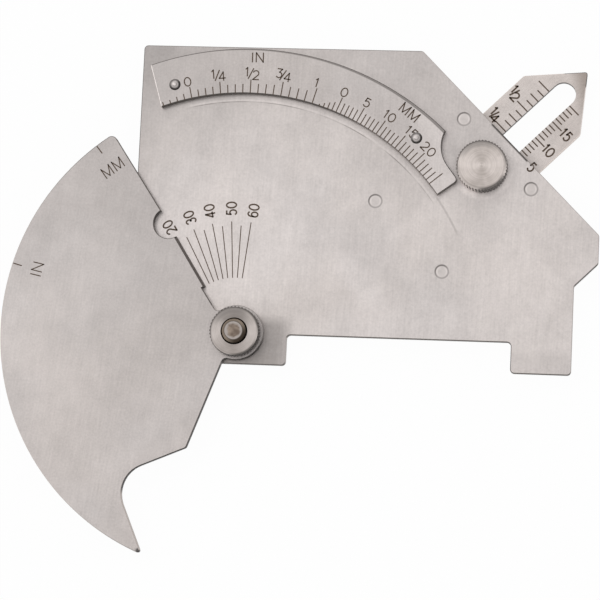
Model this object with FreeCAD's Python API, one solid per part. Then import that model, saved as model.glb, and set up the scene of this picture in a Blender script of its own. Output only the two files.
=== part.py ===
import FreeCAD, Part
import math
import os

from FreeCAD import Vector

# Weld gauge: a flat bridge plate on two feet, with a cam and a pointer, lying on its back.
# Millimetres. The origin is on the pivot axis in the plane that the gauge rests on,
# +X along the top edge to the nose, +Y from the feet to the top edge, +Z out of the front.

# Thicknesses and running gaps
cover_thickness = 2.0
pointer_thickness = 1.4
body_thickness = 1.5
cam_thickness = 1.5
scale_thickness = 1.5
sliding_gap = 0.05
bore_clearance = 0.05
edge_break = 0.15

# Body plate
body_left = -23.45
body_top_margin = 0.63
body_right = 71.8
nose_out = 5.0
nose_height = 6.11
slope_beyond_lock = 8.13
feet_level = -6.6
bridge_level = 0.0
left_foot_inner = 10.8
left_foot_outer = -6.6
right_foot_inner = 58.9
weld_relief_level = 12.0
body_corner_radius = 0.9

# Pivot
thread_radius = 2.5
stud_head_radius = 6.0
stud_stand_out = 1.3
stud_end_chamfer = 0.55
nut_radius = 5.4
nut_height = 2.7
nut_edge_chamfer = 0.25
nut_countersink = 0.35
nut_teeth = 44

# Cam plate, drawn for a bevel reading of zero and then turned to the reading shown
bevel_reading = 20.0
cam_radius = 51.5
tip_angle = -90.45
upper_edge_angle = 144.25
reading_edge_angle = 144.0
thumb_recess_distance = 28.1
thumb_recess_radius = 3.3
reading_edge_start = 12.2
reading_edge_start_offset = 0.46
reading_edge_end_offset = 0.2
boss_edge_offset = 1.3
reading_bevel_width = 0.5
reading_bevel_depth = 1.2
boss_radius = 5.9
heel_distance = 26.9
heel_offset = 0.38
heel_edge_angle = 43.5
claw_fillet = 6.5
claw_tip_radius = 0.5
upper_tip_radius = 1.3
heel_radius = 0.8
boss_fillet = 1.1

# Arc scale plate
scale_gap = 0.77
scale_inner_start_angle = 111.04
scale_inner_end_angle = 36.5
scale_width = 9.8
scale_outer_shift = 0.56
scale_outer_start_angle = 110.9
notch_offset_x = -1.7
notch_offset_y = 4.45
notch_clearance = 1.7
notch_exit_angle = 217.3
scale_end_radius = 0.9
scale_rivet_1_inset = 3.83
scale_rivet_1_angle = 106.6
scale_rivet_2_inset = 4.73
scale_rivet_2_angle = 49.4
scale_rivet_head_radius = 1.25
scale_rivet_head_height = 0.5
scale_rivet_shank_radius = 0.8

# Pointer, its guide and its lock. Along and across are measured on a frame turned by 45 degrees.
slide_angle = 45.0
pointer_across = -9.9
pointer_width = 17.75
tip_beyond_lock = 30.8
pointer_half_angle = 40.25
tail_behind_lock = 18.8
pointer_tail_chamfer = 1.5
pointer_tip_radius = 0.5
pointer_shoulder_radius = 1.0
slot_width = 5.3
slot_beyond_lock = 23.7
slide_out_travel = 6.0
lock_beyond_scale = 1.5056
lock_hole_clearance = 0.2
lock_head_radius = 5.5
lock_head_height = 3.95
lock_head_top_chamfer = 0.8
lock_head_top_drop = 0.35
lock_teeth = 48
lock_end_recess = 0.3
lock_end_chamfer = 0.4
knurl_depth = 0.25

# Cover plate and its four shouldered rivets
guide_behind_lock = 21.6
guide_beyond_lock = 4.4
guide_clearance = 0.2
guide_shoulder_radius = 1.45
guide_tenon_radius = 0.9
guide_head_radius = 1.6
cover_margin_along = 3.2
cover_margin_across = 7.4
cover_corner_radius = 2.0

# Points closer than this are one point
same_place = 0.01

# The arc scale goes round the cam, and the lock screw and the top edge stand just outside the scale
scale_inner_radius = cam_radius + scale_gap
scale_outer_radius = scale_inner_radius + scale_width
lock_along = math.sqrt((scale_outer_radius + lock_beyond_scale) ** 2 - pointer_across**2)
body_top = scale_outer_radius + body_top_margin

# Levels above the plane that the gauge rests on
cover_front = cover_thickness
pointer_back = cover_front + sliding_gap
body_back = pointer_back + pointer_thickness + sliding_gap
body_front = body_back + body_thickness
cam_back = body_front + sliding_gap
cam_front = cam_back + cam_thickness
scale_front = body_front + scale_thickness
nut_back = cam_front + sliding_gap
nut_front = nut_back + nut_height
stud_end = nut_front + stud_stand_out
lock_head_back = body_front + sliding_gap
lock_head_front = lock_head_back + lock_head_height


def polar(radius, angle, level=0.0):
    """Point at a distance and an angle in degrees about the pivot."""
    turn = math.radians(angle)
    return Vector(radius * math.cos(turn), radius * math.sin(turn), level)


def slide_point(along, across, level=0.0):
    """Point on the frame that the pointer slides in."""
    turn = math.radians(slide_angle)
    x = along * math.cos(turn) - across * math.sin(turn)
    y = along * math.sin(turn) + across * math.cos(turn)
    return Vector(x, y, level)


def segment(start, end):
    return Part.LineSegment(start, end).toShape()


def arc(start, middle, end):
    return Part.Arc(start, middle, end).toShape()


def plate(edges, level, thickness):
    """Flat plate from a closed chain of edges drawn at level zero."""
    face = Part.Face(Part.Wire(edges))
    solid = face.extrude(Vector(0, 0, thickness))
    solid.translate(Vector(0, 0, level))
    return solid


def polygon_edges(points):
    return [segment(a, b) for a, b in zip(points, points[1:] + points[:1])]


def drum(centre, radius, low, high):
    """Round solid about a vertical axis."""
    return Part.makeCylinder(radius, high - low, Vector(centre.x, centre.y, low))


def turned(centre, profile):
    """Solid of revolution about a vertical axis, from (radius, level) pairs."""
    points = [Vector(radius, 0, level) for radius, level in profile]
    face = Part.Face(Part.Wire(polygon_edges(points)))
    solid = face.revolve(Vector(0, 0, 0), Vector(0, 0, 1), 360)
    solid.translate(Vector(centre.x, centre.y, 0))
    return solid


def upright_edges(solid):
    """Pairs of an upright edge and the point where it stands in the plan."""
    pairs = []
    for edge in solid.Edges:
        foot = edge.Vertexes[0].Point
        head = edge.Vertexes[-1].Point
        if math.hypot(head.x - foot.x, head.y - foot.y) < same_place < edge.Length:
            pairs.append((edge, Vector(foot.x, foot.y, 0)))
    return pairs


def round_corners(solid, corners):
    """Round the upright edges that stand at the given points, each by its radius."""
    for point, radius in corners:
        near = [edge for edge, place in upright_edges(solid) if place.distanceToPoint(point) < same_place]
        solid = solid.makeFillet(radius, near)
    return solid


def break_front_edge(solid, level):
    """Small chamfer along the outline of the front face, as left by deburring."""
    fronts = [
        face
        for face in solid.Faces
        if face.BoundBox.ZLength < same_place and abs(face.CenterOfMass.z - level) < same_place
    ]
    return solid.makeChamfer(edge_break, fronts[0].OuterWire.Edges)


def knurled_blank(centre, radius, teeth, profile):
    """Straight knurl: a toothed prism trimmed by a turned profile."""
    tip_step = 2 * math.pi / teeth
    points = []
    for tooth in range(teeth):
        tip = tooth * tip_step
        for reach, turn in ((radius, tip), (radius - knurl_depth, tip + tip_step / 2)):
            points.append(Vector(reach * math.cos(turn), reach * math.sin(turn), 0))
    levels = [level for _, level in profile]
    prism = plate(polygon_edges(points), min(levels), max(levels) - min(levels))
    prism.translate(Vector(centre.x, centre.y, 0))
    return prism.common(turned(centre, profile))


pivot = Vector(0, 0, 0)
lock_place = slide_point(lock_along, pointer_across)
guide_rivets_along = (lock_along - guide_behind_lock, lock_along + guide_beyond_lock)
guide_across = pointer_width / 2 + guide_clearance + guide_shoulder_radius
guide_places = [
    slide_point(along, pointer_across + side * guide_across)
    for along in guide_rivets_along
    for side in (1, -1)
]
scale_rivet_places = [
    polar(scale_inner_radius + scale_rivet_1_inset, scale_rivet_1_angle),
    polar(scale_inner_radius + scale_rivet_2_inset, scale_rivet_2_angle),
]


def countersunk_hole(place, outer_level, inner_level):
    """Hole for a guide rivet, wider at the outer face so that the flush head holds."""
    profile = [
        (0, outer_level),
        (guide_head_radius, outer_level),
        (guide_tenon_radius, inner_level),
        (0, inner_level),
    ]
    return turned(place, profile)


def body_plate():
    """Bridge plate: two feet, a bridge gap, the 45 degree edge and the nose."""
    slope_sum = (lock_along + slope_beyond_lock) * math.sqrt(2)
    nose = body_right + nose_out
    nose_high = slope_sum - nose
    nose_low = nose_high - nose_height
    outline = [
        (body_left, body_top),
        (slope_sum - body_top, body_top),
        (nose, nose_high),
        (nose, nose_low),
        (body_right, nose_low - nose_out),
        (body_right, feet_level),
        (right_foot_inner, feet_level),
        (right_foot_inner, bridge_level),
        (left_foot_inner, bridge_level),
        (left_foot_inner, feet_level),
        (left_foot_outer, feet_level),
        (body_left, weld_relief_level),
    ]
    points = [Vector(x, y, 0) for x, y in outline]
    solid = plate(polygon_edges(points), body_back, body_thickness)
    solid = round_corners(solid, [(point, body_corner_radius) for point in points])
    solid = break_front_edge(solid, body_front)
    solid = solid.cut(drum(pivot, thread_radius, body_back, body_front))
    lock_hole = thread_radius + lock_hole_clearance
    solid = solid.cut(drum(lock_place, lock_hole, body_back, body_front))
    for place in guide_places:
        solid = solid.cut(countersunk_hole(place, body_front, body_back))
    for place in scale_rivet_places:
        solid = solid.cut(drum(place, scale_rivet_shank_radius, body_back, body_front))
    return solid


def cam_corners():
    """Corner points of the cam for a bevel reading of zero, by name."""
    across = polar(1, reading_edge_angle + 90)
    edge_start = polar(reading_edge_start, reading_edge_angle)
    tip = polar(cam_radius, tip_angle)
    heel = Vector(-heel_offset, -heel_distance, 0)
    heel_way = polar(1, heel_edge_angle + 180)
    reach = (tip - heel).dot(heel_way)
    inner_reach = math.sqrt(boss_radius**2 - boss_edge_offset**2)
    lower_reach = math.sqrt(boss_radius**2 - heel_offset**2)
    recess_near = thumb_recess_distance - thumb_recess_radius
    recess_far = thumb_recess_distance + thumb_recess_radius
    return {
        "tip": tip,
        "upper tip": polar(cam_radius, upper_edge_angle),
        "recess far": polar(recess_far, upper_edge_angle),
        "recess near": polar(recess_near, reading_edge_angle) + across * reading_edge_end_offset,
        "edge start": edge_start + across * reading_edge_start_offset,
        "step": edge_start + across * boss_edge_offset,
        "boss upper": polar(inner_reach, reading_edge_angle) + across * boss_edge_offset,
        "boss lower": Vector(-heel_offset, -lower_reach, 0),
        "heel": heel,
        "throat": heel + heel_way * reach,
        "across": across,
    }


def cam_plate():
    """Cam sector with the claw, the thumb recess and the bevelled reading edge."""
    at = cam_corners()
    recess_centre_way = polar(thumb_recess_distance, upper_edge_angle)
    edges = [
        arc(at["tip"], polar(cam_radius, (tip_angle + 360 + upper_edge_angle) / 2), at["upper tip"]),
        segment(at["upper tip"], at["recess far"]),
        arc(
            at["recess far"],
            recess_centre_way + at["across"] * thumb_recess_radius,
            at["recess near"],
        ),
        segment(at["recess near"], at["edge start"]),
        segment(at["edge start"], at["step"]),
        segment(at["step"], at["boss upper"]),
        arc(at["boss upper"], polar(boss_radius, (tip_angle + reading_edge_angle) / 2), at["boss lower"]),
        segment(at["boss lower"], at["heel"]),
        segment(at["heel"], at["throat"]),
        segment(at["throat"], at["tip"]),
    ]
    solid = plate(edges, cam_back, cam_thickness)
    corners = [
        (at["throat"], claw_fillet),
        (at["upper tip"], upper_tip_radius),
        (at["tip"], claw_tip_radius),
        (at["heel"], heel_radius),
        (at["boss upper"], boss_fillet),
        (at["boss lower"], boss_fillet),
    ]
    solid = round_corners(solid, corners)
    solid = break_front_edge(solid, cam_front)
    solid = solid.cut(reading_bevel(at))
    solid = solid.cut(drum(pivot, thread_radius + bore_clearance, cam_back, cam_front))
    solid.rotate(pivot, Vector(0, 0, 1), -bevel_reading)
    return solid


def reading_bevel(at):
    """Wedge that bevels the front of the reading edge."""
    bevel_foot = cam_front - reading_bevel_depth
    start = at["edge start"] + Vector(0, 0, bevel_foot)
    inner = at["edge start"] + at["across"] * reading_bevel_width + Vector(0, 0, cam_front)
    outer = at["edge start"] - at["across"] * reading_bevel_width + Vector(0, 0, bevel_foot)
    over = at["edge start"] - at["across"] * reading_bevel_width + Vector(0, 0, cam_front)
    face = Part.Face(Part.Wire(polygon_edges([start, inner, over, outer])))
    return face.extrude(at["recess near"] - at["edge start"])


def screw_notch():
    """Room round the lock screw: a round notch that runs on as a straight cut."""
    notch_radius = lock_head_radius + notch_clearance
    centre = lock_place + Vector(notch_offset_x, notch_offset_y, 0)
    onward = polar(1, notch_exit_angle + 90)
    run = onward * (2 * notch_radius)
    leave = centre + polar(notch_radius, notch_exit_angle)
    beyond = centre - polar(notch_radius, notch_exit_angle)
    straight = plate(
        polygon_edges([leave, leave + run, beyond + run, beyond]), body_front, scale_thickness
    )
    return drum(centre, notch_radius, body_front, scale_front).fuse(straight)


def arc_scale():
    """Curved scale plate round the cam, its end notched round the lock screw."""
    outer_centre = Vector(scale_outer_shift, 0, 0)
    shift_share = scale_outer_shift * math.sin(math.radians(scale_inner_end_angle)) / scale_outer_radius
    outer_end_angle = scale_inner_end_angle + math.degrees(math.asin(shift_share))
    inner_start = polar(scale_inner_radius, scale_inner_start_angle)
    inner_end = polar(scale_inner_radius, scale_inner_end_angle)
    outer_start = outer_centre + polar(scale_outer_radius, scale_outer_start_angle)
    outer_end = outer_centre + polar(scale_outer_radius, outer_end_angle)
    inner_middle_angle = (scale_inner_start_angle + scale_inner_end_angle) / 2
    outer_middle_angle = (scale_outer_start_angle + outer_end_angle) / 2
    edges = [
        arc(inner_start, polar(scale_inner_radius, inner_middle_angle), inner_end),
        segment(inner_end, outer_end),
        arc(outer_end, outer_centre + polar(scale_outer_radius, outer_middle_angle), outer_start),
        segment(outer_start, inner_start),
    ]
    solid = plate(edges, body_front, scale_thickness)
    solid = solid.cut(screw_notch())
    end_way = polar(1, scale_inner_end_angle)
    on_end = [place for _, place in upright_edges(solid) if abs(place.cross(end_way).z) < same_place]
    end_corner = max(on_end, key=lambda place: place.Length)
    solid = round_corners(solid, [(end_corner, scale_end_radius)])
    solid = break_front_edge(solid, scale_front)
    for place in scale_rivet_places:
        solid = solid.cut(drum(place, scale_rivet_shank_radius, body_front, scale_front))
    return solid


def slot_edges(start_along, end_along, width):
    """Closed slot outline between two end centres on the slide axis."""
    half = width / 2
    near, far = pointer_across - half, pointer_across + half
    return [
        segment(slide_point(start_along, near), slide_point(end_along, near)),
        arc(
            slide_point(end_along, near),
            slide_point(end_along + half, pointer_across),
            slide_point(end_along, far),
        ),
        segment(slide_point(end_along, far), slide_point(start_along, far)),
        arc(
            slide_point(start_along, far),
            slide_point(start_along - half, pointer_across),
            slide_point(start_along, near),
        ),
    ]


def pointer():
    """Pointed slide with a long slot for the lock screw."""
    half = pointer_width / 2
    tip = lock_along + tip_beyond_lock
    shoulder = tip - half / math.tan(math.radians(pointer_half_angle))
    tail = lock_along - tail_behind_lock
    trim_along = tail + pointer_tail_chamfer
    trim_across = half - pointer_tail_chamfer
    outline = [
        (tip, 0),
        (shoulder, half),
        (trim_along, half),
        (tail, trim_across),
        (tail, -trim_across),
        (trim_along, -half),
        (shoulder, -half),
    ]
    points = [slide_point(along, pointer_across + side) for along, side in outline]
    solid = plate(polygon_edges(points), pointer_back, pointer_thickness)
    corners = [
        (points[0], pointer_tip_radius),
        (points[1], pointer_shoulder_radius),
        (points[-1], pointer_shoulder_radius),
    ]
    solid = round_corners(solid, corners)
    solid = break_front_edge(solid, pointer_back + pointer_thickness)
    slot_clearance = (slot_width - 2 * thread_radius) / 2
    slot_inner = lock_along - slide_out_travel + slot_clearance
    slot_outer = lock_along + slot_beyond_lock
    slot = plate(slot_edges(slot_inner, slot_outer, slot_width), pointer_back, pointer_thickness)
    return solid.cut(slot)


def cover_plate():
    """Back guide plate, riveted over the pointer and tapped for the lock screw."""
    low = guide_rivets_along[0] - cover_margin_along
    high = guide_rivets_along[1] + cover_margin_along
    half = guide_across + cover_margin_across
    outline = [(low, -half), (high, -half), (high, half), (low, half)]
    points = [slide_point(along, pointer_across + side) for along, side in outline]
    solid = plate(polygon_edges(points), 0, cover_thickness)
    solid = round_corners(solid, [(point, cover_corner_radius) for point in points])
    solid = solid.cut(drum(lock_place, thread_radius + bore_clearance, 0, cover_front))
    for place in guide_places:
        solid = solid.cut(countersunk_hole(place, 0, cover_front))
    return solid


def guide_rivet(place):
    """Shouldered rivet: its shoulder spaces the plates and guides the pointer's edge."""
    profile = [
        (0, 0),
        (guide_head_radius, 0),
        (guide_tenon_radius, cover_front),
        (guide_shoulder_radius, cover_front),
        (guide_shoulder_radius, body_back),
        (guide_tenon_radius, body_back),
        (guide_head_radius, body_front),
        (0, body_front),
    ]
    return turned(place, profile)


def domed_cap(place, radius, height, base):
    """Low spherical cap on a flat face."""
    sphere_radius = (radius**2 + height**2) / (2 * height)
    centre = Vector(place.x, place.y, base + height - sphere_radius)
    ball = Part.makeSphere(sphere_radius, centre)
    return ball.common(drum(place, 2 * radius, base, base + height))


def scale_rivet(place):
    """Small drive rivet: a domed head, and a shank pressed through both plates, flush behind."""
    head = domed_cap(place, scale_rivet_head_radius, scale_rivet_head_height, scale_front)
    shank = drum(place, scale_rivet_shank_radius, body_back, scale_front)
    return shank.fuse(head).removeSplitter()


def pivot_stud():
    """Stud with a broad round head behind the body, on which the gauge lies."""
    profile = [
        (0, 0),
        (stud_head_radius, 0),
        (stud_head_radius, body_back),
        (thread_radius, body_back),
        (thread_radius, stud_end - stud_end_chamfer),
        (thread_radius - stud_end_chamfer, stud_end),
        (0, stud_end),
    ]
    return turned(pivot, profile)


def pivot_nut():
    """Knurled nut with a countersunk bore."""
    profile = [
        (0, nut_back),
        (nut_radius, nut_back),
        (nut_radius, nut_front - nut_edge_chamfer),
        (nut_radius - nut_edge_chamfer, nut_front),
        (0, nut_front),
    ]
    solid = knurled_blank(pivot, nut_radius, nut_teeth, profile)
    bore = thread_radius + bore_clearance
    bore_profile = [
        (0, nut_back),
        (bore, nut_back),
        (bore, nut_front - nut_countersink),
        (bore + nut_countersink, nut_front),
        (0, nut_front),
    ]
    return solid.cut(turned(pivot, bore_profile))


def lock_screw():
    """Thumb screw: a knurled head with a flat top, and a shank to the cover plate."""
    head_profile = [
        (0, lock_head_back),
        (lock_head_radius, lock_head_back),
        (lock_head_radius, lock_head_front - lock_head_top_drop),
        (lock_head_radius - lock_head_top_chamfer, lock_head_front),
        (0, lock_head_front),
    ]
    head = knurled_blank(lock_place, lock_head_radius, lock_teeth, head_profile)
    shank_profile = [
        (0, lock_end_recess),
        (thread_radius - lock_end_chamfer, lock_end_recess),
        (thread_radius, lock_end_recess + lock_end_chamfer),
        (thread_radius, lock_head_back),
        (0, lock_head_back),
    ]
    return head.fuse(turned(lock_place, shank_profile)).removeSplitter()


def build():
    """All pieces of the gauge by name."""
    pieces = {
        "body_plate": body_plate(),
        "cover_plate": cover_plate(),
        "cam_plate": cam_plate(),
        "arc_scale": arc_scale(),
        "pointer": pointer(),
        "pivot_stud": pivot_stud(),
        "pivot_nut": pivot_nut(),
        "lock_screw": lock_screw(),
    }
    for number, place in enumerate(guide_places, start=1):
        pieces[f"guide_rivet_{number}"] = guide_rivet(place)
    for number, place in enumerate(scale_rivet_places, start=1):
        pieces[f"scale_rivet_{number}"] = scale_rivet(place)
    return pieces


def check_and_write(pieces):
    """Write one file for each piece and print what it measures."""
    os.makedirs("parts", exist_ok=True)
    for name, shape in pieces.items():
        box = shape.BoundBox
        print(
            f"{name:16s} solids {len(shape.Solids)} valid {shape.isValid()} "
            f"volume {shape.Volume:9.2f} box {box.XMin:.2f} {box.YMin:.2f} {box.ZMin:.2f} "
            f"to {box.XMax:.2f} {box.YMax:.2f} {box.ZMax:.2f}"
        )
        shape.exportStep(f"parts/{name}.step")


check_and_write(build())
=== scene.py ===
# %% [markdown]
# # A weld gauge, lying on its back
#
# The gauge is a stack of flat steel plates: a bridge plate with two feet, a cam with a claw that
# turns on a stud, a curved scale riveted round the cam, and a slotted pointer behind the bridge
# plate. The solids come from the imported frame. Here they get their finish, and the graduations, the
# numerals and the stud's thread are added. Everything is in metres, in the frame of the solids.

import math

import bmesh
import bpy
from mathutils import Matrix, Vector


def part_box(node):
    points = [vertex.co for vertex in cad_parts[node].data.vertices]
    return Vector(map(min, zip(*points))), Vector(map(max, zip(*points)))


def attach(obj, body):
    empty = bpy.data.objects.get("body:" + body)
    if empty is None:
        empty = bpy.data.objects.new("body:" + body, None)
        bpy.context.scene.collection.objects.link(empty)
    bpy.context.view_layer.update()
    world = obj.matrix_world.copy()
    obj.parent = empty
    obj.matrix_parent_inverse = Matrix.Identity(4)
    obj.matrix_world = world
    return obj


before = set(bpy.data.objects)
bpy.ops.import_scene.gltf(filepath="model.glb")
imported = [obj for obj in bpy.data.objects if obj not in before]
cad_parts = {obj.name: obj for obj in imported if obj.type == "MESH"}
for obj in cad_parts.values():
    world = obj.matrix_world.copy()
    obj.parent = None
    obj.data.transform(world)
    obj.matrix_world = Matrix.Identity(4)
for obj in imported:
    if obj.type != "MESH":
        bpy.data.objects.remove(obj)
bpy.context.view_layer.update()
print("nodes:", len(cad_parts))

# %% [markdown]
# ## Where the faces are
#
# A mark lies on the face that it is cut into, so its level is read from the solid that carries it.
# Sizes on the plates are easier to say in millimetres, so one number turns them into metres.

# %% Levels of the faces
MM = 0.001
PIVOT = (0.0, 0.0)


def front_of(node):
    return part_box(node)[1][2]


body_front = front_of("body_plate")
cam_front = front_of("cam_plate")
scale_front = front_of("arc_scale")
pointer_front = front_of("pointer")
print("faces in mm:", [round(level / MM, 2) for level in (body_front, cam_front, scale_front)])

# %% Reach of the round pieces


def round_piece(node):
    """Centre, as x and y, and radius of a piece that is round seen from the front."""
    low, high = (Vector(corner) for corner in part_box(node))
    centre = (low + high) / 2
    return (centre.x, centre.y), (high.x - low.x) / 2


ARC_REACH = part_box("arc_scale")[1][1]
LOCK_AT, LOCK_REACH = round_piece("lock_screw")
NUT_REACH = round_piece("pivot_nut")[1]
print("reach in mm:", [round(reach / MM, 2) for reach in (ARC_REACH, LOCK_REACH, NUT_REACH)])

# %% [markdown]
# ## Sums written as Python
#
# Both materials and Geometry Nodes are full of small sums, such as one minus a mask. A class that
# wraps a socket and knows the operators lets a sum be written as Python, and it adds the Math nodes
# by itself. Every other node comes from one method of the board: it takes the type of the node, its
# settings, and what goes into its sockets.

# %% A board for nodes and a wire for sums


class Wire:
    """The output of a node, ready to go into a sum."""

    def __init__(self, board, socket):
        self.board = board
        self.socket = socket

    def __add__(self, other):
        return self.board.sum_of("ADD", self, other)

    def __sub__(self, other):
        return self.board.sum_of("SUBTRACT", self, other)

    def __rsub__(self, other):
        return self.board.sum_of("SUBTRACT", other, self)

    def __mul__(self, other):
        return self.board.sum_of("MULTIPLY", self, other)

    def __truediv__(self, other):
        return self.board.sum_of("DIVIDE", self, other)

    __radd__ = __add__
    __rmul__ = __mul__


class Board:
    """A node tree that nodes and sums are added to."""

    def __init__(self, tree):
        self.tree = tree

    def plug(self, socket, value):
        if isinstance(value, Wire):
            self.tree.links.new(value.socket, socket)
        else:
            socket.default_value = value

    def node(self, kind, settings=None, inputs=None):
        made = self.tree.nodes.new(kind)
        for name, value in (settings or {}).items():
            setattr(made, name, value)
        for key, value in (inputs or {}).items():
            self.plug(made.inputs[key], value)
        return made

    def wire(self, kind, settings=None, inputs=None, output=0):
        return Wire(self, self.node(kind, settings, inputs).outputs[output])

    def sum_of(self, operation, *values):
        return self.wire("ShaderNodeMath", {"operation": operation}, dict(enumerate(values)))

    def vector(self, x=0.0, y=0.0, z=0.0):
        return self.wire("ShaderNodeCombineXYZ", inputs={0: x, 1: y, 2: z})

    def ramp(self, value, start, end):
        """Smooth step from 0 at start to 1 at end."""
        settings = {"interpolation_type": "SMOOTHSTEP"}
        return self.wire("ShaderNodeMapRange", settings, {0: value, 1: start, 2: end})

    def tint(self, share, first, second):
        """Colour that goes from the first to the second with the share."""
        inputs = {0: share, 6: first, 7: second}
        return self.wire("ShaderNodeMix", {"data_type": "RGBA"}, inputs, output=2)


print("sums are ready")

# %% [markdown]
# ## Words for finishes
#
# A finish is said in a few words: where a point lies, which way its face looks, how far it is from
# an axis, and whether a value lies in a band. All of them read object coordinates, so a finish
# stays with its piece as the piece moves.

# %% Colour and noise


def new_finish(name):
    """Material with its board and its shader node."""
    material = bpy.data.materials.new(name)
    material.use_nodes = True
    board = Board(material.node_tree)
    shader = material.node_tree.nodes["Principled BSDF"]
    return material, board, shader


def grey(level, warmth=0.0):
    """Linear colour of a steel tone, which is slightly pink."""
    return (level * (1.066 + warmth), level * 0.983, level * (0.95 - warmth), 1.0)


def noise(board, place, scale, detail=2.0, roughness=0.5):
    inputs = {"Vector": place, "Scale": scale, "Detail": detail, "Roughness": roughness}
    return board.wire("ShaderNodeTexNoise", inputs=inputs)


def plug_steel(board, shader, colour, roughness, metallic, relief, strength, depth=0.01 * MM):
    """What a steel's shader needs. The relief is so fine that only the light shows it."""
    inputs = {"Strength": strength, "Distance": depth, "Height": relief}
    bump = board.wire("ShaderNodeBump", inputs=inputs)
    values = {"Base Color": colour, "Roughness": roughness, "Metallic": metallic, "Normal": bump}
    for name, value in values.items():
        board.plug(shader.inputs[name], value)


print("a steel tone:", [round(part, 3) for part in grey(0.5)])

# %% Place and direction


def object_place(board):
    return board.wire("ShaderNodeTexCoord", output="Object")


def parts_of(board, vector):
    """The x, y and z of a vector."""
    split = board.node("ShaderNodeSeparateXYZ", inputs={0: vector})
    return [Wire(board, socket) for socket in split.outputs]


def facing(board):
    """The x, y and z of the normal in object space."""
    return parts_of(board, board.wire("ShaderNodeTexCoord", output="Normal"))


def level_share(board):
    """1 where a face is level, 0 where it stands upright or is bevelled."""
    height = board.sum_of("ABSOLUTE", facing(board)[2])
    return board.ramp(height, 0.76, 0.95)


def around(board, place, centre):
    """Distance from an upright axis, and the x and y of the direction away from it."""
    x, y, _ = parts_of(board, place)
    x, y = x - centre[0], y - centre[1]
    radius = board.sum_of("SQRT", x * x + y * y + 1e-12)
    return radius, x / radius, y / radius


def band(board, value, middle, half_width, softness):
    """1 in a band round the middle, 0 away from it."""
    away = board.sum_of("ABSOLUTE", value - middle)
    return 1 - board.ramp(away, half_width, half_width + softness)


def between(board, value, low, high, softness):
    """1 between two values, 0 outside them."""
    above_low = board.ramp(value, low - softness, low)
    return above_low * (1 - board.ramp(value, high, high + softness))


print("places and directions are ready")

# %% [markdown]
# ## The steel of the plates
#
# The plates are satin steel: pale and slightly warm, with a fine grain from the belt,
# soft smears and blotches and a faint speckle. The grain is noise that is stretched along one
# direction, which each plate turns its own way. The sheared walls are darker than the faces, and
# light and shade are painted on them as well: a wall is painted paler or darker by the way that it
# looks. Traces of use, painted light and painted shade come as small functions that are applied in
# turn.

# %% Plate steel
GRAIN_SCALE = (2600, 110, 2600)


def plate_steel(name, tone, grain_turn, sheared_lit_wall, sheared_shaded_wall, face_tints=(), rims=(), warmth=0.0,
                painted_light_way=(1.0, 0.6)):
    """Satin steel of a plate: face tints, which are traces of use and painted light and shade, are
    laid on its faces, and rims on faces and walls together.
    """
    material, board, shader = new_finish(name)
    place = object_place(board)
    turned = board.wire(
        "ShaderNodeVectorRotate",
        {"rotation_type": "Z_AXIS"},
        {"Vector": place, "Angle": math.radians(grain_turn)},
    )
    stretched = board.wire("ShaderNodeMapping", inputs={"Vector": turned, "Scale": GRAIN_SCALE})
    grain = noise(board, stretched, 1.0, 3.0)
    smears = noise(board, turned, 260.0, 4.0, roughness=0.65)
    blotches = noise(board, place, 55.0, 3.0)
    speckle = noise(board, place, 2300.0)

    hue = board.ramp(noise(board, place, 38.0), 0.3, 0.7)
    colour = board.tint(hue, grey(tone, warmth + 0.008), grey(tone, warmth - 0.006))
    for trace in face_tints:
        colour = trace(board, place, colour)
    shade = 1 + 0.22 * (grain - 0.5) + 0.26 * (smears - 0.5) + 0.4 * (blotches - 0.5)
    shade = shade + 0.27 * (speckle - 0.5)
    colour = board.wire(
        "ShaderNodeVectorMath", {"operation": "SCALE"}, {0: colour, "Scale": shade}
    )

    level = level_share(board)
    across, up, _ = facing(board)
    # Painted light and shade on the walls: a wall that faces one way is painted paler, one that faces
    # away darker, over the darker tone of a sheared edge.
    lit = board.ramp(painted_light_way[0] * across + painted_light_way[1] * up, 0.25, 0.75)
    wall = board.tint(lit, grey(sheared_shaded_wall, 0.03), grey(sheared_lit_wall, 0.01))
    colour = board.tint(level, wall, colour)
    for rim in rims:
        colour = rim(board, place, colour)

    roughness = 0.55 - 0.15 * level + 0.12 * (grain - 0.5)
    relief = grain * 0.5 + speckle * 0.5
    plug_steel(board, shader, colour, roughness, 0.92, relief, 0.25)
    return material


print("grain is", GRAIN_SCALE[0] // GRAIN_SCALE[1], "times as long as wide")

# %% [markdown]
# ## Traces of use, and painted light and shade on the bridge plate
#
# The cam's rim has rubbed thin rings into the bridge plate. Light and shade are painted on the
# plate too: painted shade in the upper left corner, below and just outside the arc scale, round
# the nut and along the slanted edge, and painted light on the right side, in a streak, over the
# pivot and below the lock screw. A painted picture could hold all that, but it would blur close
# up. So each is a mask, worked out from the place on the plate or from the distance and the
# direction about the pivot, and the mask mixes the steel towards another tone.

# %% Painted shade and light across the plate
HIGHLIGHT_AT = (26.2 * MM, 11.5 * MM)
HIGHLIGHT_WAY = (0.78, 0.62)


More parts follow.
